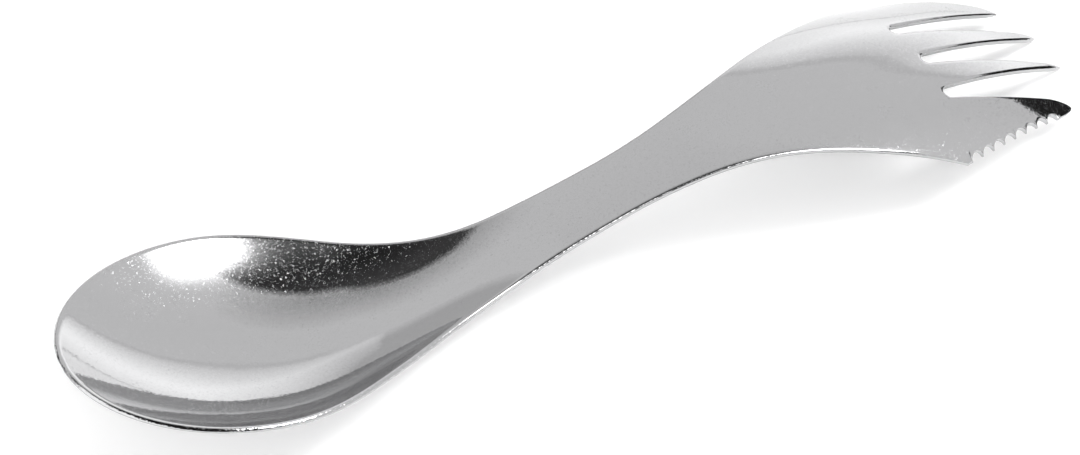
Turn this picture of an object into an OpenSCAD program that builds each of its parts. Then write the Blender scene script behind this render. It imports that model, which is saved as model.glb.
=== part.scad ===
// Spork pressed from one sheet of stainless steel: a spoon bowl, a flat waisted handle
// and a fork whose outer tine carries a serrated cutting edge.
// Millimetres. +X runs from the bowl to the fork, +Z is up, the serrated tine is at -Y.
// The sheet is described by its middle surface: an outline in plan, and a height at each
// point of it. Both faces lie half a sheet away, square to that surface.

/* [Sheet] */
// Thickness of the steel
sheet_t = 1.0; // [0.8:0.1:1.4]

/* [Bowl] */
// From the tip of the bowl to its widest place
nose_len = 26.6; // [22:0.2:32]
// Width of the bowl at its widest place
bowl_w = 39.7; // [34:0.2:46]
// Depth of the bowl below the line of its rim
bowl_depth = 8.1; // [5:0.1:10]
// How fast the bowl draws in behind its widest place
shoulder_len = 27; // [22:0.5:30]
// Lean of the rim towards the tip, in degrees
bowl_tilt = 14.8; // [8:0.1:18]
// Straight cut left at the very tip of the bowl
tip_flat = 2.4; // [1.5:0.1:4]

/* [Handle] */
// From the widest place of the bowl to the waist, the narrowest place of the handle
bowl_run = 61.2; // [54:0.5:70]
// Width of the handle at its waist
neck_w = 11.6; // [9:0.2:15]
// Climb of the handle from the bowl towards the fork, in degrees
handle_rise = 12.2; // [8:0.1:16]
// Length over which the sheet is bent from the bowl's lean to the handle's climb
bend_len = 25; // [18:0.5:32]
// From the end of that bend to the waist
bend_to_neck = 17; // [14:0.5:22]
// From the waist to the start of the arch over the fork
neck_to_arch = 13; // [10:0.5:18]

/* [Fork] */
// From the waist to the root of the middle slot
fork_run = 56.2; // [50:0.5:64]
// Width of the fork across its two shoulders
fork_w = 38.2; // [33:0.2:42]
// Length from the waist over which the sides of the fork begin to flare
flare_len = 28; // [20:0.5:34]
// From the sharp shoulder of the serrated tine to the root of the middle slot
corner_back = 3.1; // [2:0.1:5]
// Length of the rounding of the plain shoulder
shoulder_round = 6; // [4:0.5:9]
// Fall of the palm where the slots begin, in degrees
palm_fall = 14.8; // [8:0.1:18]
// Drop of the fork's shoulders below its middle
fork_crown = 5.6; // [3:0.2:7]
// Slope of the plain tine's outer edge just past its shoulder, in degrees
far_edge_turn = 11; // [6:0.5:16]

/* [Tines] */
// From the root of the middle slot to the ends of the two longest tines
tine_len = 25.4; // [20:0.2:30]
// Width of each slot at its root
slot_w = 2.2; // [1.4:0.1:2.6]
// How much nearer the handle the two outer slots begin
outer_slot_lead = 0.8; // [0.4:0.1:1.6]
// Widths that the tines taper to, from the serrated tine to the plain one
tine_end_w = [2.6, 1.0, 1.5, 1.1]; // [0.8:0.1:3]

/* [Serration] */
// Number of scallops
teeth = 8; // [6:1:8]
// Distance from tooth to tooth
tooth_pitch = 2.34; // [1.8:0.02:2.4]
// Depth of each scallop
tooth_depth = 1.0; // [0.4:0.05:1.1]
// Plain edge between the shoulder and the first tooth
tooth_land = 0.9; // [0.5:0.1:1.5]

/* [Hidden] */

// Places along the length, counted from the tip of the bowl
neck_at = nose_len + bowl_run;
root_at = neck_at + fork_run;
corner_at = root_at - corner_back;
length = root_at + tine_len;
// Behind this place the blank is whole, and past it each tine has stations of its own
join_at = root_at + slot_w;
bend_to = neck_at - bend_to_neck;
bend_from = bend_to - bend_len;
arch_from = neck_at + neck_to_arch;
flank_from = neck_at + flare_len;
round_from = corner_at - shoulder_round/2;
round_to = corner_at + shoulder_round/2;
teeth_from = corner_at + tooth_land;

// The dish of the bowl fades out on the handle, and the crown of the fork begins there
dish_end_share = 0.866;
dish_to = nose_len + bowl_run*dish_end_share;
crown_from_share = 0.22;
crown_full_share = 0.75;
crown_from = neck_at + fork_run*crown_from_share;
crown_to = neck_at + fork_run*crown_full_share;
// Part of the crown that is left at the ends of the tines
crown_left_share = 0.4;
// Above 1, the floor of the bowl stays deep for longer before it climbs to the handle
dish_hold = 1.18;
// How square the cross-sections of the bowl and of the fork are
dish_power = 2.38;
crown_power = 3;

// Places of the slots and of the tine ends across the fork, as shares of half its width
slot_shares = [-0.415, -0.01, 0.40];
tine_end_shares = [-0.70, -0.195, 0.203, 0.547];
// How far each tine ends short of the longest, and how long its rounded end is
tip_setback_shares = [0.19, 0, 0, 0.12];
tip_round_shares = [0.16, 0.12, 0.12, 0.13];
// How full the rounding of a tine's end is, and the part of the sheet's thickness left there
tip_blunt_share = 0.995;
tip_thin_share = 0.4;

// Fineness of the mesh
cols = 6;
nose_steps = 12;
bowl_steps = 15;
handle_steps = 5;
fork_steps = 16;
tine_steps = 8;
round_steps = 6;
tooth_steps = 6;
root_steps = 4;
// Closest two stations along the length, and the step over which a slope is measured
station_gap_share = 0.05;
station_gap = sheet_t*station_gap_share;
probe_share = 0.01;
probe = sheet_t*probe_share;

// The tines are numbered from the serrated one to the plain one
last_tine = 3;

// Shared curves

function lerp(a, b, t) = a + (b - a)*t;

function ease(t) = let (c = min(1, max(0, t))) c*c*(3 - 2*c);

// Height gained at x by a line whose slope changes evenly from one bend to the next
function bend_rise(x, at, slope, i = 0) =
    i > len(at) - 2 ? 0 :
    let (
        start = i == 0 ? x : max(x, at[i]),
        d = (i == len(at) - 2 ? start : min(start, at[i + 1])) - at[i],
        run = at[i + 1] - at[i]
    )
    d*(slope[i] + (slope[i + 1] - slope[i])*d/run/2) + bend_rise(x, at, slope, i + 1);

function sorted(v) =
    len(v) < 2 ? v :
    let (pivot = v[floor(len(v)/2)])
    concat(
        sorted([for (x = v) if (x < pivot) x]),
        [pivot],
        sorted([for (x = v) if (x > pivot) x])
    );

// Stations between from and to, in order, with none closer than the gap to its neighbour
function stations(from, to, v) =
    let (s = sorted([for (x = v) if (x > from + station_gap && x < to - station_gap) x]))
    concat(
        [from],
        [for (i = [0:len(s) - 1]) if (i == 0 || s[i] - s[i - 1] > station_gap) s[i]],
        [to]
    );

// Outline in plan

// Share of the distance from the widest place to the tip, so that the tip keeps its flat
function nose_share(x) = (nose_len - x)/nose_len*sqrt(1 - pow(tip_flat/bowl_w, 2));

flank_slope = (fork_w - neck_w)/2/(corner_at - (neck_at + flank_from)/2);

function flare(x) =
    bend_rise(max(x, neck_at), [neck_at, flank_from, length], [0, flank_slope, flank_slope]);

function half_width(x) =
    x < nose_len
    ? bowl_w/2*sqrt(max(0, 1 - pow(nose_share(x), 2)))
    : neck_w/2 + (bowl_w - neck_w)/2*exp(-pow((x - nose_len)/shoulder_len, 2)) + flare(x);

function tip_at(i) = length - tine_len*tip_setback_shares[i];

function end_edge(i, side) = fork_w/2*tine_end_shares[i] + side*tine_end_w[i]/2;

// Plain shoulder: the flank rounds over and runs in a long curve to the tip of its tine
far_slope = tan(far_edge_turn);
round_from_y = half_width(round_from);
round_to_y = round_from_y + (flank_slope - far_slope)*shoulder_round/2;
far_run = tip_at(last_tine) - round_to;
far_curve = (round_to_y - far_slope*far_run - end_edge(last_tine, 1))/far_run/far_run;

function far_edge(x) =
    let (d = x - round_from, e = x - round_to)
    x < round_from ? half_width(x) :
    x < round_to ? round_from_y + flank_slope*d - (flank_slope + far_slope)*d*d/shoulder_round/2 :
    round_to_y - far_slope*e - far_curve*e*e;

// Scallops are round bites in the straight outer edge of the serrated tine
tooth_r = (pow(tooth_pitch/2, 2) + pow(tooth_depth, 2))/tooth_depth/2;

function scallop(x) =
    let (t = (x - teeth_from)/tooth_pitch, across = (t - floor(t) - 1/2)*tooth_pitch)
    t < 0 || t > teeth ? 0 : sqrt(tooth_r*tooth_r - across*across) - tooth_r + tooth_depth;

function near_edge(x) =
    x < corner_at
    ? -half_width(x)
    : scallop(x) + lerp(-fork_w/2, end_edge(0, -1), (x - corner_at)/(tip_at(0) - corner_at));

function slot_root(k) = root_at - (k == 1 ? 0 : outer_slot_lead);

// Line along the sheet that runs into slot k, then that slot's edge on one side
function slot_edge(k, side, x) =
    let (
        line = slot_shares[k]*(x < corner_at ? half_width(x) : fork_w/2),
        r = slot_w/2,
        into = x - slot_root(k) - r,
        tine = side > 0 ? k + 1 : k,
        taper = into/(tip_at(tine) - slot_root(k) - r)
    )
    into <= -r ? line :
    into < 0 ? line + side*sqrt(r*r - into*into) :
    lerp(line + side*r, end_edge(tine, -side), taper);

// How far x has come along the rounded end of tine i, from 0 to 1
function tip_share(i, x) = max(0, 1 - (tip_at(i) - x)/tine_len/tip_round_shares[i]);

// Tine i is the strip between its two edges, and its end is rounded
function tine_edges(i, x) =
    let (
        low = i == 0 ? near_edge(x) : slot_edge(i - 1, 1, x),
        high = i == last_tine ? far_edge(x) : slot_edge(i, -1, x),
        narrow = sqrt(1 - pow(tip_blunt_share*tip_share(i, x), 2)),
        middle = (low + high)/2
    )
    [lerp(middle, low, narrow), lerp(middle, high, narrow)];

// Height of the middle surface

spine_at = [0, bend_from, bend_to, arch_from, root_at];
spine_slope = [-tan(bowl_tilt), -tan(bowl_tilt), tan(handle_rise), tan(handle_rise), -tan(palm_fall)];

// Depth of the dish as a share of the bowl's full depth
function dish(x, y) =
    x < nose_len
    ? 1 - pow(sqrt(pow(nose_share(x), 2) + pow(2*y/bowl_w, 2)), dish_power)
    : let (
        w = half_width(x),
        fade = 1 - ease(pow((x - nose_len)/(dish_to - nose_len), dish_hold))
    )
      sqrt(2*w/bowl_w)*fade*(1 - pow(abs(y)/w, dish_power));

function crown(x, y) =
    fork_crown*ease((x - crown_from)/(crown_to - crown_from))
    *lerp(1, crown_left_share, ease((x - root_at)/tine_len))
    *pow(2*abs(y)/fork_w, crown_power);

// The bowl stands on the lowest point of its floor, and the tines reach the same level
bowl_low = min([for (k = [0:bowl_steps*bowl_steps]) let (x = dish_to*k/bowl_steps/bowl_steps)
    bend_rise(x, spine_at, spine_slope) - bowl_depth*dish(x, 0)]);
tip_z = bowl_low - sheet_t/2 + sheet_t/2*tip_thin_share;
root_z = bend_rise(root_at, spine_at, spine_slope);
tine_slope = 2*(tip_z - root_z)/tine_len + tan(palm_fall);

function middle_z(x, y) =
    bend_rise(x, concat(spine_at, [length]), concat(spine_slope, [tine_slope]))
    - bowl_depth*dish(x, y) - crown(x, y);

// A point of the top face, or of the underside where side is -1
function face_point(i, x, y, side) =
    let (
        slope_x = (middle_z(x + probe, y) - middle_z(x - probe, y))/probe/2,
        slope_y = (middle_z(x, y + probe) - middle_z(x, y - probe))/probe/2,
        normal = [-slope_x, -slope_y, 1]
    )
    [x, y, middle_z(x, y)]
    + side*sheet_t/2*lerp(1, tip_thin_share, pow(tip_share(i, x), 2))*normal/norm(normal);

// Stations along the length, dense where the outline turns sharply

nose_from = asin(tip_flat/bowl_w);
nose_x = [for (k = [0:nose_steps])
    nose_len*(1 - cos(lerp(nose_from, 90, k/nose_steps))/cos(nose_from))];
bowl_x = [for (k = [0:bowl_steps]) lerp(nose_len, dish_to, k/bowl_steps)];
handle_x = [for (k = [0:handle_steps]) lerp(dish_to, crown_from, k/handle_steps)];
fork_x = [for (k = [0:fork_steps]) lerp(crown_from, join_at, k/fork_steps)];
root_x = [for (k = [0:1], s = [0:root_steps]) slot_root(k) + slot_w/2*(1 - cos(90*s/root_steps))];
tooth_x = [for (n = [0:teeth - 1], s = [0:tooth_steps])
    teeth_from + tooth_pitch*(n + (1 - cos(180*s/tooth_steps))/2)];
blank_x = stations(
    0, join_at,
    concat(nose_x, bowl_x, handle_x, fork_x, root_x, tooth_x, [corner_at, round_from])
);

function tine_x(i) =
    let (
        round_len = tine_len*tip_round_shares[i],
        body = [for (k = [0:tine_steps]) lerp(join_at, tip_at(i) - round_len, k/tine_steps)],
        end = [for (k = [0:round_steps]) tip_at(i) - round_len*(1 - sin(90*k/round_steps))]
    )
    stations(join_at, tip_at(i), concat(body, end, i == 0 ? tooth_x : []));

strip_x = [for (i = [0:last_tine])
    let (own = tine_x(i))
    concat(blank_x, [for (k = [1:len(own) - 1]) own[k]])];

// Each strip is a grid of rows across it, with the top point and the underside point
// of each place next to one another in the list

strip_start = [
    for (i = 0, n = 0; i <= last_tine; n = n + len(strip_x[i])*(cols + 1)*2, i = i + 1) n
];

points = [for (i = [0:last_tine], x = strip_x[i])
    let (edges = tine_edges(i, x))
    for (j = [0:cols], side = [1, -1]) face_point(i, x, lerp(edges[0], edges[1], j/cols), side)];

function top(i, row, j) = strip_start[i] + (row*(cols + 1) + j)*2;

// Two triangles of a four-cornered patch, clockwise seen from outside
function patch(a, b, c, d) = [[a, b, c], [a, c, d]];

// The strips part at the slots, so their walls begin where the slot does
function has_wall(i, side, x) =
    side < 0 ? i == 0 || x > slot_root(i - 1) : i == last_tine || x > slot_root(i);

function strip_faces(i) =
    let (rows = len(strip_x[i]), end = len(strip_x[i]) - 1)
    [
        for (r = [0:rows - 2], j = [0:cols - 1])
            let (a = top(i, r, j), b = top(i, r + 1, j), c = top(i, r + 1, j + 1), d = top(i, r, j + 1))
            each concat(patch(a, d, c, b), patch(a + 1, b + 1, c + 1, d + 1)),
        for (r = [0:rows - 2]) if (has_wall(i, -1, strip_x[i][r + 1]))
            let (a = top(i, r, 0), b = top(i, r + 1, 0))
            each patch(a, b, b + 1, a + 1),
        for (r = [0:rows - 2]) if (has_wall(i, 1, strip_x[i][r + 1]))
            let (a = top(i, r, cols), b = top(i, r + 1, cols))
            each patch(a, a + 1, b + 1, b),
        for (j = [0:cols - 1])
            let (a = top(i, 0, j), b = top(i, 0, j + 1))
            each patch(b, a, a + 1, b + 1),
        for (j = [0:cols - 1])
            let (a = top(i, end, j), b = top(i, end, j + 1))
            each patch(a, b, b + 1, a + 1)
    ];

// The part stands on z = 0, centred over its own length
low_point = [min([for (p = points) p[0]]), 0, min([for (p = points) p[2]])];
high_point = [max([for (p = points) p[0]]), 0, low_point[2]];

module spork() {
    color("silver")
    translate(-(low_point + high_point)/2)
    polyhedron(points = points, faces = [for (i = [0:last_tine]) each strip_faces(i)]);
}

spork();
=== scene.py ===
"""Looks of a pressed stainless-steel spork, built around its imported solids.

The steel is made the way a press shop makes it: a flat blank is cut with its slots and
scallops, its cut edges are tumbled round, and the press then bends the bowl, the handle
and the fork. All shop sizes are in millimetres from the tip of the bowl, and the finished
piece is in metres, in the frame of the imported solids.
"""

import logging
import math
from collections.abc import Sequence
from dataclasses import dataclass, field
from enum import Enum

import bmesh
import bpy
from mathutils import Matrix, Vector


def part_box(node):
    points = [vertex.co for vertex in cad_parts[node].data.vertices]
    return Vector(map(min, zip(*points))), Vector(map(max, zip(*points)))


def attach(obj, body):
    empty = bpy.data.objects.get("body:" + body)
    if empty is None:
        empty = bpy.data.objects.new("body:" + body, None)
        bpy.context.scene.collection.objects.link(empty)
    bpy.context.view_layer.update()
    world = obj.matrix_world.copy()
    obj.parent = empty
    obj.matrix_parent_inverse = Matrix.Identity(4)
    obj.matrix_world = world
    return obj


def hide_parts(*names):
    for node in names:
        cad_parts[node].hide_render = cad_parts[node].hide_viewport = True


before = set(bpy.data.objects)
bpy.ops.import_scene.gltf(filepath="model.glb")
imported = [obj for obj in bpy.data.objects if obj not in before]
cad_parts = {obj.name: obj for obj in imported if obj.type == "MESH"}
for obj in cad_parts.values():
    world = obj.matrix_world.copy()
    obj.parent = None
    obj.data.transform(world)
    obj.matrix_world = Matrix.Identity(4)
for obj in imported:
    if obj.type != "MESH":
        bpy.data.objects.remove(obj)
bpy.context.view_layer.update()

log = logging.getLogger("spork")

MM = 0.001

SERRATED_TINE = 0
PLAIN_TINE = 3
MIDDLE_SLOT = 1

# Values kept at each point of the blank: half its thickness, and how dull its cut edge is
HALF_LAYER = "half"
CUT_LAYER = "cut"


def lerp(a: float, b: float, t: float) -> float:
    """Returns the value at share t of the way from a to b."""
    return a + (b - a) * t


def ease(t: float) -> float:
    """Returns t held between 0 and 1, with a smooth start and a smooth end."""
    held = min(1.0, max(0.0, t))
    return held * held * (3 - 2 * held)


def quarter_round(radius: float, steps: int) -> list[float]:
    """Returns distances from an edge, closest together at it, that follow a quarter circle."""
    return [radius * (1 - math.cos(math.pi / 2 * k / steps)) for k in range(steps + 1)]


def linear(hex_colour: str) -> tuple[float, float, float, float]:
    """Turns an sRGB hex value into the linear colour that a shader reads.

    Args:
        hex_colour: Six hex digits after a number sign.

    Returns:
        Red, green, blue and an alpha of 1.
    """
    parts = [int(hex_colour[i:i + 2], 16) / 255 for i in (1, 3, 5)]
    red, green, blue = (c / 12.92 if c <= 0.04045 else ((c + 0.055) / 1.055) ** 2.4 for c in parts)
    return red, green, blue, 1.0


def add_node(
    tree: bpy.types.NodeTree,
    kind: str,
    settings: dict[str, object] | None = None,
    values: dict[str | int, object] | None = None,
    links: dict[str | int, bpy.types.NodeSocket] | None = None,
) -> bpy.types.Node:
    """Adds one node with its settings, socket values and incoming links.

    Args:
        tree: The node tree that takes the node.
        kind: Blender's name of the node type.
        settings: Properties of the node itself.
        values: Values for unlinked input sockets, by socket name or number.
        links: Output sockets to join to this node's inputs, by input name or number.

    Returns:
        The new node.
    """
    node = tree.nodes.new(kind)
    for name, value in (settings or {}).items():
        setattr(node, name, value)
    for name, value in (values or {}).items():
        node.inputs[name].default_value = value
    for name, socket in (links or {}).items():
        tree.links.new(socket, node.inputs[name])
    return node


def shows_background(tree: bpy.types.NodeTree) -> bpy.types.NodeSocket:
    """Tells rays that show the background from rays that light the object.

    Args:
        tree: The node tree that asks.

    Returns:
        1 on a ray to the camera, straight or by way of metal or glass, and otherwise 0.
    """
    rays = add_node(tree, "ShaderNodeLightPath").outputs
    seen = rays["Is Camera Ray"]
    for kind in ("Is Glossy Ray", "Is Transmission Ray"):
        seen = add_node(
            tree, "ShaderNodeMath", {"operation": "MAXIMUM"}, links={0: seen, 1: rays[kind]}
        ).outputs[0]
    return seen


def stage_piece(
    name: str, shape: bmesh.types.BMesh, finish: bpy.types.Material
) -> bpy.types.Object:
    """Turns a shape into an object that isn't part of the spork.

    Args:
        name: Name of the object.
        shape: Its mesh, which is used up.
        finish: Its material.

    Returns:
        The object.
    """
    mesh = bpy.data.meshes.new(name)
    shape.to_mesh(mesh)
    shape.free()
    mesh.materials.append(finish)
    made = bpy.data.objects.new(name, mesh)
    bpy.context.scene.collection.objects.link(made)
    return made


class Side(Enum):
    """The two faces of the sheet."""

    TOP = 1
    UNDERSIDE = -1


@dataclass(frozen=True)
class Spine:
    """Side view of the sheet: a line whose slope changes evenly between its bends.

    Attributes:
        places: Distances of the bends from the tip of the bowl.
        slopes: Slope of the line at each bend.
    """

    places: Sequence[float]
    slopes: Sequence[float]

    def rise(self, x: float) -> float:
        """Returns the height gained from the first place to x."""
        total = 0.0
        last = len(self.places) - 2
        for i in range(last + 1):
            start, end = self.places[i], self.places[i + 1]
            here = x if i == 0 else max(x, start)
            d = (here if i == last else min(here, end)) - start
            change = self.slopes[i + 1] - self.slopes[i]
            total += d * (self.slopes[i] + change * d / (end - start) / 2)
        return total


@dataclass
class Serration:
    """The row of round bites in the serrated tine's straight outer edge.

    Attributes:
        teeth: Number of scallops.
        pitch: Distance from tooth to tooth.
        depth: Depth of each scallop.
        land: Plain edge between the shoulder and the first tooth.
    """

    teeth: int = 8
    pitch: float = 2.34
    depth: float = 1.0
    land: float = 0.9

    def bite(self, along: float) -> float:
        """Returns how deep the edge is cut at a distance along it from the first tooth."""
        radius = ((self.pitch / 2) ** 2 + self.depth**2) / self.depth / 2
        t = along / self.pitch
        if not 0 < t < self.teeth:
            return 0.0
        across = (t - math.floor(t) - 0.5) * self.pitch
        return math.sqrt(radius * radius - across * across) - radius + self.depth

    def stations(self, start: float) -> list[float]:
        """Returns places along the edge, close together where a tooth turns sharply."""
        steps = 12
        return [
            start + self.pitch * (n + (1 - math.cos(math.pi * s / steps)) / 2)
            for n in range(self.teeth)
            for s in range(steps + 1)
        ]


@dataclass
class Bowl:
    """Sizes of the spoon end.

    Attributes:
        nose: From the tip of the bowl to its widest place.
        width: Width at that place.
        depth: Depth below the line of the rim.
        shoulder: How fast the bowl draws in behind its widest place.
        tilt: Lean of the rim towards the tip.
        tip_flat: Straight cut left at the very tip.
        dish_power: How square the bowl's cross-section is.
        dish_hold: Above 1, the floor stays deep for longer before it climbs to the handle.
        dish_end_share: Share of the way to the waist at which the dish has faded out.
    """

    nose: float = 26.6
    width: float = 39.7
    depth: float = 8.1
    shoulder: float = 27.0
    tilt: float = math.radians(14.8)
    tip_flat: float = 2.4
    dish_power: float = 2.38
    dish_hold: float = 1.18
    dish_end_share: float = 0.866


@dataclass
class Handle:
    """Sizes of the waisted middle.

    Attributes:
        run: From the widest place of the bowl to the waist.
        waist: Width at the narrowest place.
        rise: Climb from the bowl towards the fork.
        bend: Length over which the bowl's lean turns into that climb.
        bend_to_waist: From the end of that bend to the waist.
        waist_to_arch: From the waist to the start of the arch over the fork.
    """

    run: float = 61.2
    waist: float = 11.6
    rise: float = math.radians(12.2)
    bend: float = 25.0
    bend_to_waist: float = 17.0
    waist_to_arch: float = 13.0


@dataclass
class Fork:
    """Sizes of the palm and the tines, listed from the serrated tine to the plain one.

    Attributes:
        run: From the waist to the root of the middle slot.
        width: Width across the two shoulders.
        flare: Length from the waist over which the sides begin to flare.
        corner_back: From the sharp shoulder to the root of the middle slot.
        shoulder_round: Length of the rounding of the plain shoulder.
        palm_fall: Fall of the palm where the slots begin.
        crown: Drop of the shoulders below the middle.
        crown_power: How square the fork's cross-section is.
        crown_from_share: Share of the run at which the crown begins.
        crown_full_share: Share of the run at which the crown is whole.
        crown_left_share: Share of the crown that is left at the ends of the tines.
        far_turn: Slope of the plain tine's outer edge just past its shoulder.
        tine: From the root of the middle slot to the ends of the two longest tines.
        slot: Width of each slot at its root.
        outer_slot_lead: How much nearer the handle the two outer slots begin.
        tine_ends: Widths that the tines taper to.
        slot_shares: Places of the slots across the fork, as shares of half its width.
        tine_end_shares: Places of the tines' ends, as shares of half the fork's width.
        tip_setback_shares: How far each tine ends short of the longest.
        tip_round_shares: How long each tine's rounded end is, as a share of the tine.
        tip_blunt_share: How full that rounding is.
        tip_thin_share: Share of the sheet's thickness that is left at a tine's end.
    """

    run: float = 56.2
    width: float = 38.2
    flare: float = 28.0
    corner_back: float = 3.1
    shoulder_round: float = 6.0
    palm_fall: float = math.radians(14.8)
    crown: float = 5.6
    crown_power: float = 3.0
    crown_from_share: float = 0.22
    crown_full_share: float = 0.75
    crown_left_share: float = 0.4
    far_turn: float = math.radians(11)
    tine: float = 25.4
    slot: float = 2.2
    outer_slot_lead: float = 0.8
    tine_ends: Sequence[float] = (2.6, 1.0, 1.5, 1.1)
    slot_shares: Sequence[float] = (-0.415, -0.01, 0.40)
    tine_end_shares: Sequence[float] = (-0.70, -0.195, 0.203, 0.547)
    tip_setback_shares: Sequence[float] = (0.19, 0.0, 0.0, 0.12)
    tip_round_shares: Sequence[float] = (0.16, 0.12, 0.12, 0.13)
    tip_blunt_share: float = 0.995
    tip_thin_share: float = 0.4


@dataclass
class SheetForm:
    """The middle surface of the pressed sheet: its outline in plan and its heights.

    Attributes:
        sheet: Thickness of the sheet.
        edge_round: How much of the edge's height the tumbling rounds off, from each face.
        edge_reach: How far in from the edge that rounding begins.
        tooth_reach: The same on the scallops, which are ground after the tumbling and keep
            a sharper edge.
        tooth_lead: Length of sharp edge before the first scallop.
        bowl: The spoon end.
        handle: The waisted middle.
        fork: The palm and the tines.
        serration: The scallops.
    """

    sheet: float = 1.0
    edge_round: float = 0.32
    edge_reach: float = 0.52
    tooth_reach: float = 0.22
    tooth_lead: float = 0.3
    bowl: Bowl = field(default_factory=Bowl)
    handle: Handle = field(default_factory=Handle)
    fork: Fork = field(default_factory=Fork)
    serration: Serration = field(default_factory=Serration)

    def __post_init__(self) -> None:
        """Works out the places along the length that the sizes lead to."""
        bowl, handle, fork = self.bowl, self.handle, self.fork
        self.neck_at = bowl.nose + handle.run
        self.root_at = self.neck_at + fork.run
        self.corner_at = self.root_at - fork.corner_back
        self.length = self.root_at + fork.tine
        self.join_at = self.root_at + fork.slot
        self.bend_to = self.neck_at - handle.bend_to_waist
        self.bend_from = self.bend_to - handle.bend
        self.arch_from = self.neck_at + handle.waist_to_arch
        self.dish_to = bowl.nose + handle.run * bowl.dish_end_share
        self.crown_from = self.neck_at + fork.run * fork.crown_from_share
        self.crown_to = self.neck_at + fork.run * fork.crown_full_share
        self.teeth_from = self.corner_at + self.serration.land
        self._set_flank()
        self._set_spine()

    def _set_flank(self) -> None:
        """Works out the fork's flared side and the plain shoulder that rounds it over."""
        fork = self.fork
        flank_from = self.neck_at + fork.flare
        rise = (fork.width - self.handle.waist) / 2
        self.flank_slope = rise / (self.corner_at - (self.neck_at + flank_from) / 2)
        self.flank = Spine(
            (self.neck_at, flank_from, self.length), (0, self.flank_slope, self.flank_slope)
        )
        self.round_from = self.corner_at - fork.shoulder_round / 2
        self.round_to = self.corner_at + fork.shoulder_round / 2
        self.far_slope = math.tan(fork.far_turn)
        self.round_from_y = self.half_width(self.round_from)
        self.round_to_y = (
            self.round_from_y + (self.flank_slope - self.far_slope) * fork.shoulder_round / 2
        )
        far_run = self.tip_at(PLAIN_TINE) - self.round_to
        fall = self.round_to_y - self.far_slope * far_run - self.end_edge(PLAIN_TINE, 1)
        self.far_curve = fall / far_run**2

    def _set_spine(self) -> None:
        """Works out the side view, with the tines' slope solved so that they meet the table."""
        fork = self.fork
        places = [0.0, self.bend_from, self.bend_to, self.arch_from, self.root_at]
        lean, climb = math.tan(self.bowl.tilt), math.tan(self.handle.rise)
        slopes = [-lean, -lean, climb, climb, -math.tan(fork.palm_fall)]
        short = Spine(places, slopes)
        steps = 400
        low = min(
            short.rise(x) - self.bowl.depth * self.dish(x, 0.0)
            for x in (self.dish_to * k / steps for k in range(steps + 1))
        )
        tip = low - self.sheet / 2 + self.sheet / 2 * fork.tip_thin_share
        tine_slope = 2 * (tip - short.rise(self.root_at)) / fork.tine + math.tan(fork.palm_fall)
        self.spine = Spine([*places, self.length], [*slopes, tine_slope])

    def nose_share(self, x: float) -> float:
        """Returns the share of the way from the bowl's widest place to its tip."""
        bowl = self.bowl
        return (bowl.nose - x) / bowl.nose * math.sqrt(1 - (bowl.tip_flat / bowl.width) ** 2)

    def half_width(self, x: float) -> float:
        """Returns half the width of the blank at x, up to the shoulders of the fork."""
        bowl, handle = self.bowl, self.handle
        if x < bowl.nose:
            return bowl.width / 2 * math.sqrt(max(0.0, 1 - self.nose_share(x) ** 2))
        bell = math.exp(-(((x - bowl.nose) / bowl.shoulder) ** 2))
        waisted = handle.waist / 2 + (bowl.width - handle.waist) / 2 * bell
        return waisted + self.flank.rise(max(x, self.neck_at))

    def tip_at(self, tine: int) -> float:
        """Returns where a tine ends."""
        return self.length - self.fork.tine * self.fork.tip_setback_shares[tine]

    def end_edge(self, tine: int, side: int) -> float:
        """Returns where one edge of a tine is heading at its end."""
        fork = self.fork
        return fork.width / 2 * fork.tine_end_shares[tine] + side * fork.tine_ends[tine] / 2

    def far_edge(self, x: float) -> float:
        """Returns the plain side's outline, which rounds over into the plain tine."""
        if x < self.round_from:
            return self.half_width(x)
        if x < self.round_to:
            on = x - self.round_from
            turn = (self.flank_slope + self.far_slope) / self.fork.shoulder_round / 2
            return self.round_from_y + self.flank_slope * on - turn * on * on
        past = x - self.round_to
        return self.round_to_y - self.far_slope * past - self.far_curve * past * past

    def near_edge(self, x: float) -> float:
        """Returns the serrated side's outline, with its scallops."""
        if x < self.corner_at:
            return -self.half_width(x)
        share = (x - self.corner_at) / (self.tip_at(SERRATED_TINE) - self.corner_at)
        straight = lerp(-self.fork.width / 2, self.end_edge(SERRATED_TINE, -1), share)
        return straight + self.serration.bite(x - self.teeth_from)

    def slot_root(self, slot: int) -> float:
        """Returns where a slot begins."""
        return self.root_at - (0.0 if slot == MIDDLE_SLOT else self.fork.outer_slot_lead)

    def slot_line(self, slot: int, x: float) -> float:
        """Returns the line along the sheet that runs into a slot."""
        half = self.half_width(x) if x < self.corner_at else self.fork.width / 2
        return self.fork.slot_shares[slot] * half

    def slot_edge(self, slot: int, side: int, x: float) -> float:
        """Returns a slot's edge on one side, or the line that runs into the slot."""
        radius = self.fork.slot / 2
        line = self.slot_line(slot, x)
        into = x - self.slot_root(slot) - radius
        if into <= -radius:
            return line
        if into < 0:
            return line + side * math.sqrt(radius * radius - into * into)
        tine = slot + 1 if side > 0 else slot
        taper = into / (self.tip_at(tine) - self.slot_root(slot) - radius)
        return lerp(line + side * radius, self.end_edge(tine, -side), taper)

    def tip_share(self, tine: int, x: float) -> float:
        """Returns how far x has come along a tine's rounded end, from 0 to 1."""
        fork = self.fork
        return max(0.0, 1 - (self.tip_at(tine) - x) / fork.tine / fork.tip_round_shares[tine])

    def reach(self, tine: int, x: float) -> float:
        """Returns how far in from its edge a strip is rounded."""
        sharp = tine == SERRATED_TINE and x > self.teeth_from - self.tooth_lead
        return self.tooth_reach if sharp else self.edge_reach

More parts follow.
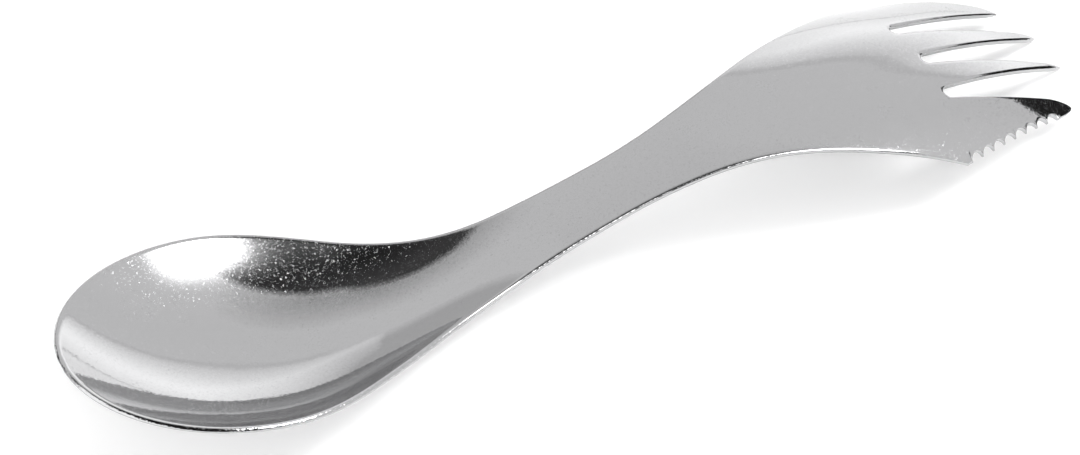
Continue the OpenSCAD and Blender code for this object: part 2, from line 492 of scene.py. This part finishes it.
    def tine_edges(self, tine: int, x: float) -> tuple[float, float]:
        """Returns both edges of the strip that ends in a tine."""
        low = self.near_edge(x) if tine == SERRATED_TINE else self.slot_edge(tine - 1, 1, x)
        high = self.far_edge(x) if tine == PLAIN_TINE else self.slot_edge(tine, -1, x)
        narrow = math.sqrt(1 - (self.fork.tip_blunt_share * self.tip_share(tine, x)) ** 2)
        middle = (low + high) / 2
        return lerp(middle, low, narrow), lerp(middle, high, narrow)

    def dish(self, x: float, y: float) -> float:
        """Returns the depth of the bowl at a point, as a share of its full depth."""
        bowl = self.bowl
        if x < bowl.nose:
            rho = math.hypot(self.nose_share(x), 2 * y / bowl.width)
            return 1 - rho**bowl.dish_power
        fade = 1 - ease(((x - bowl.nose) / (self.dish_to - bowl.nose)) ** bowl.dish_hold)
        if fade <= 0:
            return 0.0
        half = self.half_width(x)
        return math.sqrt(2 * half / bowl.width) * fade * (1 - (abs(y) / half) ** bowl.dish_power)

    def crown(self, x: float, y: float) -> float:
        """Returns how far the fork's sides drop below its middle."""
        fork = self.fork
        ramp = ease((x - self.crown_from) / (self.crown_to - self.crown_from))
        left = lerp(1, fork.crown_left_share, ease((x - self.root_at) / fork.tine))
        return fork.crown * ramp * left * (2 * abs(y) / fork.width) ** fork.crown_power

    def height(self, x: float, y: float) -> float:
        """Returns the height of the middle surface."""
        return self.spine.rise(x) - self.bowl.depth * self.dish(x, y) - self.crown(x, y)

    def pressed(self, x: float, y: float, off: float) -> Vector:
        """Returns where the press puts a point of the flat blank.

        Args:
            x: Place along the blank.
            y: Place across the blank.
            off: Signed distance from the middle of the sheet.

        Returns:
            The point in millimetres, with off measured square to the middle surface.
        """
        step = 0.02
        slope_x = (self.height(x + step, y) - self.height(x - step, y)) / step / 2
        slope_y = (self.height(x, y + step) - self.height(x, y - step)) / step / 2
        normal = Vector((-slope_x, -slope_y, 1)).normalized()
        return Vector((x, y, self.height(x, y))) + normal * off


@dataclass
class SteelBlank:
    """Cuts, tumbles and presses the one piece of sheet steel.

    Attributes:
        form: The shape that the press gives.
        pitch: Distance between stations along the blank.
        least_gap: Distance under which two stations count as one.
        inner_columns: Columns of each strip between its two tumbled edges.
        round_columns: Columns across each tumbled edge.
        root_steps: Stations along the quarter circle at the root of a slot.
        tip_steps: Stations along the rounded end of a tine.
        past_nose: Further stations just behind the rounded front of the bowl.
        round_corner: Stations before and after the corner where the scallops begin.
        most_reach_share: Share of a strip's width that one rounded edge takes at most.
        most_round_share: Share of half the thickness that the rounding takes at most.
        dulled_share: Share of the rounding, from the edge in, that stays uneven.
    """

    form: SheetForm
    pitch: float = 0.7
    least_gap: float = 0.012
    inner_columns: int = 12
    round_columns: int = 5
    root_steps: int = 8
    tip_steps: int = 14
    past_nose: Sequence[float] = (0.65, 0.85)
    round_corner: Sequence[float] = (-0.3, -0.1, 0.0, 0.1, 0.3)
    most_reach_share: float = 0.2
    most_round_share: float = 0.7
    dulled_share: float = 0.5

    def stations(self, start: float, end: float, extra: Sequence[float]) -> list[float]:
        """Returns ordered places from start to end, with no two nearly the same."""
        count = max(1, round((end - start) / self.pitch))
        even = [lerp(start, end, k / count) for k in range(1, count)]
        places = [start]
        for x in sorted([*even, *extra]):
            if min(x - places[-1], end - x) > self.least_gap:
                places.append(x)
        return [*places, end]

    def blank_stations(self) -> list[float]:
        """Returns the stations that all four strips share, from the bowl's tip on."""
        form = self.form
        edge = quarter_round(form.edge_reach, self.round_columns)
        root = quarter_round(form.fork.slot / 2, self.root_steps)
        # The two outer slots begin at one place, so one of them stands for both
        slots = [form.slot_root(k) for k in (MIDDLE_SLOT - 1, MIDDLE_SLOT)]
        roots = [at + d for at in slots for d in root]
        before = [at - d for at in slots for d in edge]
        corner = [form.corner_at + d for d in self.round_corner]
        teeth = form.serration.stations(form.teeth_from)
        extra = [*edge, *self.past_nose, *roots, *before, *corner, *teeth]
        return self.stations(0.0, form.join_at, extra)

    def tine_stations(self, tine: int) -> list[float]:
        """Returns the stations that belong to one tine alone."""
        form = self.form
        tip = form.tip_at(tine)
        reach = form.fork.tine * form.fork.tip_round_shares[tine]
        end = [tip - d for d in quarter_round(reach, self.tip_steps)]
        teeth = form.serration.stations(form.teeth_from) if tine == SERRATED_TINE else []
        return self.stations(form.join_at, tip, [*end, *teeth])

    def columns(self, tine: int, x: float) -> list[float]:
        """Returns places across a strip, close together at its two edges."""
        low, high = self.form.tine_edges(tine, x)
        reach = min(self.form.reach(tine, x), (high - low) * self.most_reach_share)
        edge = quarter_round(reach, self.round_columns)
        inner = [
            lerp(low + reach, high - reach, k / self.inner_columns)
            for k in range(1, self.inner_columns)
        ]
        return [low + d for d in edge] + inner + [high - d for d in reversed(edge)]

    def inset(self, tine: int, x: float, y: float) -> float:
        """Returns how far a point of a strip lies inside the nearest cut edge."""
        form = self.form
        step = 0.01
        slots = range(len(form.fork.slot_shares))
        edges = zip((tine - 1, tine), form.tine_edges(tine, x), form.tine_edges(tine, x - step))
        distances = []
        for slot, edge, edge_before in edges:
            if slot in slots:
                centre = form.slot_root(slot) + form.fork.slot / 2
                if x < centre:
                    away = math.hypot(x - centre, y - form.slot_line(slot, x))
                    distances.append(away - form.fork.slot / 2)
                    continue
            slope = (edge - edge_before) / step
            distances.append(abs(y - edge) / math.hypot(1, slope))
        if x < form.bowl.nose:
            distances += [self.nose_inset(x, y), x]
        return max(0.0, min(distances))

    def nose_inset(self, x: float, y: float) -> float:
        """Returns about how far a point of the bowl lies inside its half-round front."""
        bowl = self.form.bowl
        least = 1e-6
        share = self.form.nose_share(x)
        across = 2 * y / bowl.width
        rho = max(least, math.hypot(share, across))
        slope = math.hypot(share / bowl.nose, across * 2 / bowl.width) / rho
        return (1 - rho) / slope

    def half_thickness(self, tine: int, x: float, inset: float) -> float:
        """Returns half the sheet's thickness, less near the tumbled edges.

        Args:
            tine: Number of the tine that the strip ends in.
            x: Place along the blank.
            inset: Distance in from the nearest cut edge.

        Returns:
            Distance from the middle of the sheet to either face.
        """
        form = self.form
        thin = lerp(1, form.fork.tip_thin_share, form.tip_share(tine, x) ** 2)
        half = form.sheet / 2 * thin
        radius = min(form.edge_round, half * self.most_round_share)
        reach = form.reach(tine, x) * radius / form.edge_round
        out = 1 - inset / reach
        if out <= 0:
            return half
        return half - radius + radius * math.sqrt(max(0.0, 1 - out * out))

    def cut_strip(self, blank: bmesh.types.BMesh, tine: int, places: Sequence[float]) -> None:
        """Lays one strip of the blank, as a grid drawn to the strip's outline.

        Args:
            blank: The mesh that takes the strip.
            tine: Number of the tine that the strip ends in.
            places: Stations along the strip.
        """
        half, cut = (blank.verts.layers.float[name] for name in (HALF_LAYER, CUT_LAYER))
        dulled = self.form.edge_reach * self.dulled_share
        rows = [self.columns(tine, x) for x in places]
        across = len(rows[0]) - 1
        along = len(places) - 1
        made = bmesh.ops.create_grid(blank, x_segments=along, y_segments=across, size=1)
        for vert in made["verts"]:
            row = round((vert.co.x + 1) / 2 * along)
            column = round((vert.co.y + 1) / 2 * across)
            x, y = places[row], rows[row][column]
            inset = self.inset(tine, x, y)
            vert.co = (x, y, 0)
            vert[half] = self.half_thickness(tine, x, inset)
            vert[cut] = max(0.0, 1 - inset / dulled)

    def cut(self) -> bmesh.types.BMesh:
        """Cuts the flat blank: four strips that are one sheet up to the slots."""
        blank = bmesh.new()
        for name in (HALF_LAYER, CUT_LAYER):
            blank.verts.layers.float.new(name)
        shared = self.blank_stations()
        for tine in range(len(self.form.fork.tine_ends)):
            self.cut_strip(blank, tine, [*shared, *self.tine_stations(tine)[1:]])
        same_point = 1e-4
        bmesh.ops.remove_doubles(blank, verts=blank.verts, dist=same_point)
        return blank

    def thicken(self, blank: bmesh.types.BMesh) -> None:
        """Gives the blank its two faces and the cut walls between them."""
        layer = blank.verts.layers.float[HALF_LAYER]
        grown = bmesh.ops.extrude_face_region(blank, geom=blank.faces[:])
        top = {v for v in grown["geom"] if isinstance(v, bmesh.types.BMVert)}
        for vert in blank.verts:
            side = Side.TOP if vert in top else Side.UNDERSIDE
            vert.co.z = side.value * vert[layer]

    def press(self, blank: bmesh.types.BMesh) -> None:
        """Bends the blank to its form and sets it down in the frame, in metres."""
        for vert in blank.verts:
            vert.co = self.form.pressed(*vert.co)
        low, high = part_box("spork")
        xs = [v.co.x for v in blank.verts]
        floor = min(v.co.z for v in blank.verts)
        middle = (min(xs) + max(xs)) / 2
        place = Vector(((low.x + high.x) / 2, (low.y + high.y) / 2, low.z))
        bmesh.ops.translate(blank, verts=blank.verts, vec=Vector((-middle, 0, -floor)))
        bmesh.ops.scale(blank, verts=blank.verts, vec=(MM, MM, MM))
        bmesh.ops.translate(blank, verts=blank.verts, vec=place)
        bmesh.ops.recalc_face_normals(blank, faces=blank.faces)

    def build(self, finish: bpy.types.Material) -> bpy.types.Object:
        """Makes the finished piece.

        Args:
            finish: The material of the steel.

        Returns:
            The steel's object, riding on the part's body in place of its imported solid.
        """
        blank = self.cut()
        self.thicken(blank)
        self.press(blank)
        for face in blank.faces:
            face.smooth = True
        mesh = bpy.data.meshes.new("spork_steel")
        blank.to_mesh(mesh)
        blank.free()
        steel = bpy.data.objects.new("spork_steel", mesh)
        bpy.context.scene.collection.objects.link(steel)
        mesh.materials.append(finish)
        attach(steel, "root")
        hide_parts("spork")
        return steel


@dataclass(frozen=True)
class TumbledStainless:
    """Cutlery-grade stainless steel, pressed from cold-rolled sheet and tumble-polished.

    Tumbling in a drum of ceramic chips leaves a bright skin of minute facets, so the steel
    mirrors its surroundings sharply, with a grain of hazy facets that glitter near a strong light.
    """

    colour: str = "#B5B5B6"
    roughness: float = 0.045
    # The hazy facets lean further, so that each glitters or stays dark
    haze_roughness: float = 0.24
    haze_tilt: float = 0.175
    # Few facets are very hazy, so a facet's share of haze is a power of its chance
    haze_most: float = 0.22
    haze_rarity: float = 2.2
    # Real facets are about 0.05 mm across, finer than a pixel, so they are drawn at 0.22 mm
    facet_mm: float = 0.22
    facet_tilt: float = 0.006
    # The sheared edge is only dulled by the tumbling, and stays uneven
    edge_tilt: float = 0.06
    # Cold rolling leaves a faint unevenness with a pitch of a few millimetres, from which
    # the roughness takes a share between two limits
    ripple_mm: float = 5.0
    ripple_range: tuple[float, float] = (0.3, 0.7)
    rough_shares: tuple[float, float] = (0.85, 1.2)

    def leaning(
        self, tree: bpy.types.NodeTree, chance: bpy.types.NodeSocket, least: float
    ) -> bpy.types.NodeSocket:
        """Tilts the surface by a small random amount from facet to facet, more on a cut edge.

        Args:
            tree: The material's node tree.
            chance: A random colour for each facet.
            least: Greatest tilt away from a cut edge, as a slope.

        Returns:
            The tilted normal.
        """
        # A colour's three parts, from 0 to 1, become a direction with parts from -1 to 1
        way = add_node(
            tree, "ShaderNodeVectorMath", {"operation": "MULTIPLY_ADD"},
            {1: (2.0, 2.0, 2.0), 2: (-1.0, -1.0, -1.0)}, {0: chance},
        )
        cut = add_node(tree, "ShaderNodeAttribute", {"attribute_name": CUT_LAYER}).outputs["Fac"]
        most = add_node(
            tree, "ShaderNodeMath", {"operation": "MULTIPLY_ADD"},
            {1: self.edge_tilt, 2: least}, {0: cut},
        )
        tilt = add_node(
            tree, "ShaderNodeVectorMath", {"operation": "SCALE"},
            links={0: way.outputs[0], "Scale": most.outputs[0]},
        )
        normal = add_node(tree, "ShaderNodeNewGeometry").outputs["Normal"]
        added = add_node(
            tree, "ShaderNodeVectorMath", {"operation": "ADD"},
            links={0: normal, 1: tilt.outputs[0]},
        )
        return add_node(
            tree, "ShaderNodeVectorMath", {"operation": "NORMALIZE"}, links={0: added.outputs[0]}
        ).outputs[0]

    def skin(
        self,
        tree: bpy.types.NodeTree,
        shader: bpy.types.Node,
        ripple: bpy.types.NodeSocket,
        normal: bpy.types.NodeSocket,
        rough: float,
    ) -> bpy.types.NodeSocket:
        """Makes a shader one of the steel's two kinds of facet.

        Args:
            tree: The material's node tree.
            shader: The Principled shader that is set.
            ripple: Unevenness left by the rolling.
            normal: The tilted normal of each facet.
            rough: Roughness where the rolling left none.

        Returns:
            The shader's output.
        """
        shader.inputs["Base Color"].default_value = linear(self.colour)
        shader.inputs["Metallic"].default_value = 1.0
        low, high = self.ripple_range
        least, most = (rough * share for share in self.rough_shares)
        varied = add_node(
            tree, "ShaderNodeMapRange",
            values={"From Min": low, "From Max": high, "To Min": least, "To Max": most},
            links={"Value": ripple},
        )
        tree.links.new(varied.outputs["Result"], shader.inputs["Roughness"])
        tree.links.new(normal, shader.inputs["Normal"])
        return shader.outputs[0]

    def material(self) -> bpy.types.Material:
        """Returns the steel's material."""
        made = bpy.data.materials.new("tumbled_stainless_steel")
        made.use_nodes = True
        tree = made.node_tree
        place = add_node(tree, "ShaderNodeTexCoord").outputs["Object"]
        ripple = add_node(
            tree, "ShaderNodeTexNoise",
            values={"Scale": 1 / (self.ripple_mm * MM), "Detail": 3.0, "Roughness": 0.5},
            links={"Vector": place},
        ).outputs["Fac"]
        chance = add_node(
            tree, "ShaderNodeTexVoronoi",
            values={"Scale": 1 / (self.facet_mm * MM)},
            links={"Vector": place},
        ).outputs["Color"]
        bright = self.skin(
            tree, tree.nodes["Principled BSDF"], ripple,
            self.leaning(tree, chance, self.facet_tilt), self.roughness,
        )
        hazy = self.skin(
            tree, add_node(tree, "ShaderNodeBsdfPrincipled"), ripple,
            self.leaning(tree, chance, self.haze_tilt), self.haze_roughness,
        )
        other = add_node(tree, "ShaderNodeTexWhiteNoise", links={"Vector": chance}).outputs["Value"]
        rare = add_node(
            tree, "ShaderNodeMath", {"operation": "POWER"}, {1: self.haze_rarity}, {0: other}
        )
        share = add_node(
            tree, "ShaderNodeMath", {"operation": "MULTIPLY"},
            {1: self.haze_most}, {0: rare.outputs[0]},
        )
        both = add_node(
            tree, "ShaderNodeMixShader", links={0: share.outputs[0], 1: bright, 2: hazy}
        )
        tree.links.new(both.outputs[0], tree.nodes["Material Output"].inputs["Surface"])
        return made


@dataclass(frozen=True)
class Card:
    """A flat studio card, square to the frame, that the steel mirrors and the camera doesn't see.

    The card thins out towards its edges, where what hangs behind it shows through.

    Attributes:
        name: Name of the card.
        low: Its lowest corner, in metres.
        high: Its highest corner, level with the lowest along one direction.
        glow: Strength of its light in the middle.
        cover: Share of what hangs behind it that its middle hides.
        fade: Distance from its edge at which it is whole, in metres.
        falloff: Power of the change from edge to middle, where 1 is even.
        oval: Whether the card is an oval and not a rectangle.
    """

    name: str
    low: tuple[float, float, float]
    high: tuple[float, float, float]
    glow: float
    cover: float
    fade: float
    falloff: float = 1.0
    oval: bool = False

    def depth_inside(
        self, tree: bpy.types.NodeTree, parts: Sequence[bpy.types.NodeSocket], axes: Sequence[int]
    ) -> bpy.types.NodeSocket:
        """Works out how far inside its edge a point of the card lies.

        Args:
            tree: The material's node tree.
            parts: The three object coordinates.
            axes: The two directions in which the card has a size.

        Returns:
            The distance in metres, or about that on an oval.
        """
        halves = [(self.high[k] - self.low[k]) / 2 for k in axes]
        offs = [
            add_node(
                tree, "ShaderNodeMath", {"operation": "SUBTRACT"},
                {1: (self.low[k] + self.high[k]) / 2}, {0: parts[k]},
            ).outputs[0]
            for k in axes
        ]
        if self.oval:
            shares = [
                add_node(
                    tree, "ShaderNodeMath", {"operation": "DIVIDE"}, {1: half}, {0: off}
                ).outputs[0]
                for off, half in zip(offs, halves)
            ]
            flat = add_node(tree, "ShaderNodeCombineXYZ", links=dict(enumerate(shares)))
            out = add_node(
                tree, "ShaderNodeVectorMath", {"operation": "LENGTH"}, links={0: flat.outputs[0]}
            )
            small = min(halves)
            return add_node(
                tree, "ShaderNodeMath", {"operation": "MULTIPLY_ADD"},
                {1: -small, 2: small}, {0: out.outputs["Value"]},
            ).outputs[0]
        left = []
        for off, half in zip(offs, halves):
            away = add_node(tree, "ShaderNodeMath", {"operation": "ABSOLUTE"}, links={0: off})
            inside = add_node(
                tree, "ShaderNodeMath", {"operation": "SUBTRACT"}, {0: half}, {1: away.outputs[0]}
            )
            left.append(inside.outputs[0])
        return add_node(
            tree, "ShaderNodeMath", {"operation": "MINIMUM"}, links=dict(enumerate(left))
        ).outputs[0]

    def surface(self, axes: Sequence[int]) -> bpy.types.Material:
        """Returns the card's light and veil, which change evenly near its edges.

        Args:
            axes: The two directions in which the card has a size.

        Returns:
            A material that shines and hides, but isn't lit.
        """
        made = bpy.data.materials.new(f"{self.name}_surface")
        made.use_nodes = True
        tree = made.node_tree
        tree.nodes.remove(tree.nodes["Principled BSDF"])
        place = add_node(tree, "ShaderNodeTexCoord").outputs["Object"]
        parts = add_node(tree, "ShaderNodeSeparateXYZ", links={0: place}).outputs
        whole = add_node(
            tree, "ShaderNodeMapRange",
            values={"From Min": 0.0, "From Max": self.fade, "To Min": 0.0, "To Max": 1.0},
            links={"Value": self.depth_inside(tree, parts, axes)},
        )
        share = add_node(
            tree, "ShaderNodeMath", {"operation": "POWER"},
            {1: self.falloff}, {0: whole.outputs["Result"]},
        ).outputs[0]
        strength = add_node(
            tree, "ShaderNodeMath", {"operation": "MULTIPLY"}, {1: self.glow}, {0: share}
        )
        clear = add_node(
            tree, "ShaderNodeMath", {"operation": "MULTIPLY_ADD"},
            {1: -self.cover, 2: 1.0}, {0: share},
        )
        light = add_node(tree, "ShaderNodeEmission", links={"Strength": strength.outputs[0]})
        veil = add_node(tree, "ShaderNodeBsdfTransparent", links={"Color": clear.outputs[0]})
        both = add_node(
            tree, "ShaderNodeAddShader", links={0: light.outputs[0], 1: veil.outputs[0]}
        )
        tree.links.new(both.outputs[0], tree.nodes["Material Output"].inputs["Surface"])
        return made

    def build(self) -> None:
        """Hangs the card, hidden from the camera, from diffuse light and from shadows."""
        low, high = Vector(self.low), Vector(self.high)
        size = high - low
        flat = min(range(3), key=lambda axis: size[axis])
        stands = {0: Matrix.Rotation(math.pi / 2, 3, "Y"), 1: Matrix.Rotation(math.pi / 2, 3, "X")}
        board = bmesh.new()
        bmesh.ops.create_grid(board, x_segments=1, y_segments=1, size=0.5)
        if flat in stands:
            bmesh.ops.rotate(board, verts=board.verts, matrix=stands[flat])
        bmesh.ops.scale(board, verts=board.verts, vec=size)
        bmesh.ops.translate(board, verts=board.verts, vec=(low + high) / 2)
        card = stage_piece(self.name, board, self.surface([k for k in range(3) if k != flat]))
        card.visible_camera = False
        card.visible_diffuse = False
        card.visible_shadow = False


@dataclass(frozen=True)
class Lamp:
    """A soft square lamp that faces the object and isn't mirrored in it.

    Attributes:
        name: Name of the lamp.
        place: Its middle, in metres.
        size: Its side, in metres.
        power: Its power, in watts.
    """

    name: str
    place: tuple[float, float, float]
    size: float
    power: float

    def build(self) -> None:
        """Hangs the lamp and turns it to the middle of the object."""
        light = bpy.data.lights.new(self.name, "AREA")
        light.energy = self.power
        light.size = self.size
        away = Vector(self.place)
        turned = away.to_track_quat("Z", "Y").to_matrix().to_4x4()
        lamp = bpy.data.objects.new(self.name, light)
        lamp.matrix_world = Matrix.Translation(away) @ turned
        lamp.visible_glossy = False
        bpy.context.scene.collection.objects.link(lamp)


@dataclass(frozen=True)
class WhiteCardFloor:
    """Uncoated white card, which is matt, so it shows a soft shadow and no reflection."""

    colour: str = "#FDFDFD"
    roughness: float = 0.9
    # What the card itself shines, so that it meets the white background without a line
    lift: float = 0.08
    half_size: float = 3.0

    def material(self) -> bpy.types.Material:
        """Returns the card's material."""
        made = bpy.data.materials.new("white_card_floor")
        made.use_nodes = True
        tree = made.node_tree
        shader = tree.nodes["Principled BSDF"]
        shader.inputs["Base Color"].default_value = linear(self.colour)
        shader.inputs["Roughness"].default_value = self.roughness
        shader.inputs["Specular IOR Level"].default_value = 0.0
        shader.inputs["Emission Color"].default_value = linear("#FFFFFF")
        shine = add_node(
            tree, "ShaderNodeMath", {"operation": "MULTIPLY"},
            {1: self.lift}, {0: shows_background(tree)},
        )
        tree.links.new(shine.outputs[0], shader.inputs["Emission Strength"])
        return made

    def build(self) -> None:
        """Lays the floor that the object stands on."""
        sheet = bmesh.new()
        bmesh.ops.create_grid(sheet, x_segments=1, y_segments=1, size=self.half_size)
        stage_piece("floor", sheet, self.material())


@dataclass(frozen=True)
class Surroundings:
    """The room beyond the cards, plain and white, with a dimmer light from its front.

    Attributes:
        front: Strength of the light from the front.
        back: Strength of the light from behind the object.
        turn: How far backwards a direction points where each strength is reached.
    """

    front: float = 0.65
    back: float = 1.015
    turn: tuple[float, float] = (-0.4, 0.5)

    def build(self) -> None:
        """Sets the world, which the camera and the steel see as white."""
        world = bpy.data.worlds.new("surroundings")
        bpy.context.scene.world = world
        world.use_nodes = True
        tree = world.node_tree
        way = add_node(tree, "ShaderNodeTexCoord").outputs["Generated"]
        parts = add_node(tree, "ShaderNodeSeparateXYZ", links={0: way}).outputs
        low, high = self.turn
        light = add_node(
            tree, "ShaderNodeMapRange",
            values={"From Min": low, "From Max": high, "To Min": self.front, "To Max": self.back},
            links={"Value": parts[1]},
        )
        level = add_node(
            tree, "ShaderNodeMix", {"data_type": "FLOAT"}, {"B": 1.0},
            {"Factor": shows_background(tree), "A": light.outputs["Result"]},
        )
        shade = tree.nodes["Background"]
        shade.inputs["Color"].default_value = linear("#FFFFFF")
        tree.links.new(level.outputs[0], shade.inputs["Strength"])


@dataclass(frozen=True)
class FittedCamera:
    """The camera that was fitted to the outline in the photograph.

    Attributes:
        target: A point that it looks at, in millimetres.
        azimuth: Degrees that it stands round to the right from the front.
        elevation: Degrees that it stands above the floor.
        roll: Degrees that it leans to its left.
        distance: Distance from the target, in millimetres.
        focal_px: Focal length in pixels of the photograph.
        photo_width: Width of the photograph in pixels.
        sensor_mm: Width of the sensor.
        clip_start: Distance from which it sees, in metres.
    """

    target: tuple[float, float, float] = (-8.956, -0.876, 8.0)
    azimuth: float = -27.015
    elevation: float = 48.058
    roll: float = -0.887
    distance: float = 450.64
    focal_px: float = 2978.6
    photo_width: int = 1080
    sensor_mm: float = 36.0
    clip_start: float = 0.01

    def build(self) -> None:
        """Sets up the camera and makes it the scene's."""
        lens = bpy.data.cameras.new("camera")
        lens.sensor_width = self.sensor_mm
        lens.lens = self.focal_px * self.sensor_mm / self.photo_width
        lens.clip_start = self.clip_start
        turn, lift, roll = (math.radians(a) for a in (self.azimuth, self.elevation, self.roll))
        back = Vector(
            (math.sin(turn) * math.cos(lift), -math.cos(turn) * math.cos(lift), math.sin(lift))
        )
        right = (-back).cross(Vector((0, 0, 1))).normalized()
        up = right.cross(-back)
        side = right * math.cos(roll) + up * math.sin(roll)
        above = up * math.cos(roll) - right * math.sin(roll)
        place = (Vector(self.target) + back * self.distance) * MM
        turned = Matrix((side, above, back)).transposed().to_4x4()
        camera = bpy.data.objects.new("camera", lens)
        camera.matrix_world = Matrix.Translation(place) @ turned
        bpy.context.scene.collection.objects.link(camera)
        bpy.context.scene.camera = camera


@dataclass(frozen=True)
class Studio:
    """Pale floor, plain surroundings, cards, lamps and the camera."""

    camera: FittedCamera = FittedCamera()
    surroundings: Surroundings = Surroundings()
    floor: WhiteCardFloor = WhiteCardFloor()
    lamps: Sequence[Lamp] = (
        Lamp("window_light", (0.62, 0.02, 0.52), size=0.30, power=3.4),
        Lamp("front_light", (-0.25, -0.9, 0.75), size=0.5, power=6.5),
    )
    cards: Sequence[Card] = (
        # The dimmer wall of the room around the white backdrop
        Card(
            "dim_wall", (-0.719, 1.632, -0.485), (8.057, 1.632, 1.407),
            glow=0.712, cover=1.0, fade=0.45,
        ),
        # A sheet of white card behind the spork, which the sides of the bowl and tines mirror
        Card(
            "backdrop", (0.371, 1.6, -0.485), (8.058, 1.6, 1.324),
            glow=1.84, cover=1.0, fade=0.848, falloff=0.564,
        ),
        # The shadow under the ledge above that sheet
        Card(
            "ledge_shadow", (0.60, 1.55, 1.28), (8.0, 1.55, 1.45),
            glow=0.0, cover=0.11, fade=0.085,
        ),
        # The pale wall around the window
        Card(
            "window_wall", (-1.014, -1.913, 0.63), (2.381, 0.154, 0.63),
            glow=0.32, cover=0.24, fade=0.73, oval=True,
        ),
        # The unlit side of the room, over the camera
        Card(
            "dark_side", (-3.209, -2.681, 0.60), (0.591, 0.575, 0.60),
            glow=0.008, cover=1.0, fade=0.054, oval=True,
        ),
        # The dimmer ceiling straight above
        Card(
            "dim_ceiling", (-0.244, -0.198, 0.368), (0.224, 0.278, 0.368),
            glow=0.101, cover=0.772, fade=0.31, oval=True,
        ),
        # The window to the right of the camera, blown out in the far wall of the bowl
        Card(
            "window", (-0.122, -0.372, 0.18), (0.292, 0.058, 0.18),
            glow=11.3, cover=0.0, fade=0.147, falloff=9.3, oval=True,
        ),
        # A white sheet low on the left, which the cut edge at the front of the bowl mirrors
        Card(
            "left_sheet", (-0.45, -1.6, -0.05), (-0.45, 0.10, 0.40),
            glow=1.9, cover=1.0, fade=0.05,
        ),
        # The dark corner of the room behind the bowl, a thin line along the far rim
        Card(
            "dark_corner", (-2.6, 1.2, -0.10), (-0.36, 1.2, 0.42),
            glow=0.02, cover=0.95, fade=0.06,
        ),
        # A small black flag past the tips of the tines, which the serrated one mirrors
        Card(
            "black_flag", (0.135, -0.03, -0.01), (0.135, 0.03, 0.042),
            glow=0.02, cover=1.0, fade=0.002,
        ),
    )

    def build(self) -> None:
        """Sets up the whole studio."""
        bpy.context.scene.view_settings.view_transform = "Standard"
        for piece in (self.camera, self.surroundings, self.floor, *self.lamps, *self.cards):
            piece.build()
        log.info("studio: %d lamps, %d cards", len(self.lamps), len(self.cards))


def main() -> None:
    """Builds the steel and its studio."""
    logging.basicConfig(level=logging.INFO, format="%(name)s: %(message)s")
    Studio().build()
    steel = SteelBlank(SheetForm()).build(TumbledStainless().material())
    log.info("%s: %d faces", steel.name, len(steel.data.polygons))


if __name__ == "__main__":
    main()
